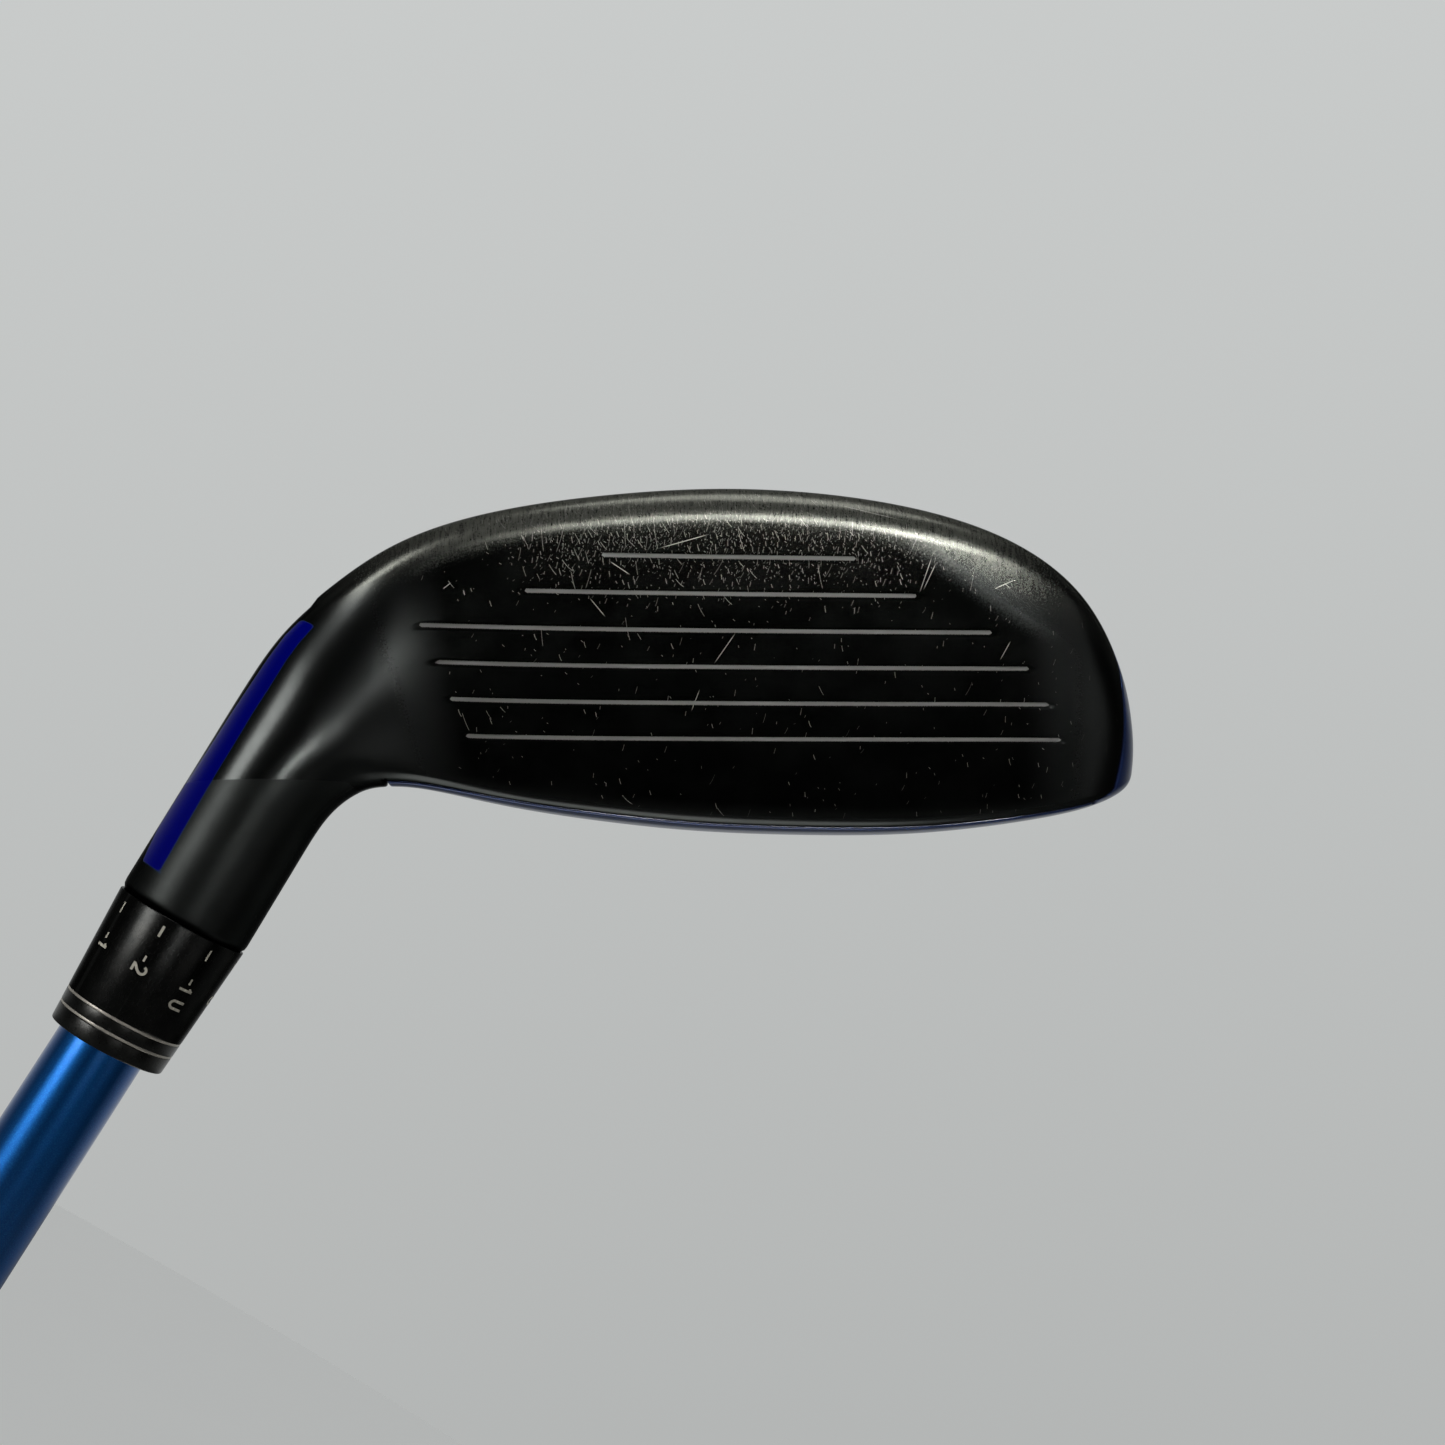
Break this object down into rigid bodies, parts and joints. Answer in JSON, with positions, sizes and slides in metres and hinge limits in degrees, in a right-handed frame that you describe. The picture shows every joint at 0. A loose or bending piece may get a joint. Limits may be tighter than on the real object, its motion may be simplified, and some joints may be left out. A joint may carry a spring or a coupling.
{
  "type": "hybrid golf club",
  "caption": "Right-handed hybrid golf club, head up, with a metal-wood style head, adjustable hosel sleeve, steel-blue shaft and rubber grip.",
  "frame": {"origin": "centre of the grip cap's end face, in the mouth of its vent hole", "axes": "+Z along the shaft towards the head, +X towards the toe, the face looks along -Y"},
  "size_m": [0.095, 0.0598, 1.0305],
  "materials": {
    "grip_rubber": "matte moulded rubber",
    "grip_cap_rubber": "matte moulded rubber",
    "tape": "woven double-sided tape",
    "shaft_blue": "metallic blue lacquer over carbon fibre, glossy",
    "brass": "turned brass",
    "sleeve_black": "black anodised aluminium, satin",
    "steel": "machined steel",
    "ring_silver": "bright metal ring",
    "ferrule_black": "polished black plastic",
    "body_black": "satin black plated steel, worn along the leading edge",
    "face_black": "matte black plated face",
    "crown_blue": "gloss metallic blue paint",
    "nylon": "natural nylon",
    "screw_dark": "black oxide steel",
    "seal_rubber": "moulded rubber",
    "hot_melt": "amber hot-melt glue"
  },
  "bodies": {
    "shaft_group": {"grip_cap": "grip_cap_rubber", "grip": "grip_rubber", "grip_tape": "tape", "shaft": "shaft_blue", "tip_weight": "brass", "adapter_sleeve": "sleeve_black", "thread_insert": "steel", "ferrule_ring_lower": "ring_silver", "ferrule_spacer": "ferrule_black", "ferrule_ring_upper": "ring_silver", "ferrule_end": "ferrule_black"},
    "head": {"head_body": "body_black", "face_cup": "face_black", "crown_shell": "crown_blue", "spline_ring": "steel", "screw_retainer": "nylon", "screw_washer": "steel", "damping_pad": "hot_melt"},
    "hosel_screw": {"hosel_screw": "screw_dark"},
    "weight_seal": {"weight_seal": "seal_rubber"},
    "sole_weight": {"sole_weight": "steel"}
  },
  "joints": [
    {"name": "head_pull", "type": "slide", "parent": "shaft_group", "child": "head", "axis": [-0.0218, 0, 0.9998], "range_m": [0, 0.045]},
    {"name": "screw_turn", "type": "hinge", "parent": "head", "child": "hosel_screw", "pos_m": [-0.00063, 0, 0.9816], "axis": [-0.0218, 0, 0.9998], "continuous": true},
    {"name": "weight_lift", "type": "slide", "parent": "head", "child": "weight_seal", "axis": [-0.5092, 0.1908, 0.8392], "range_m": [0, 0.008]},
    {"name": "weight_turn", "type": "hinge", "parent": "weight_seal", "child": "sole_weight", "pos_m": [0.02541, 0.031, 1.01522], "axis": [-0.5092, 0.1908, 0.8392], "range_deg": [0, 2881]}
  ],
  "couplings": [
    {"joint": "weight_turn", "follows": "weight_lift", "rad_per_m": 6283.2}
  ]
}
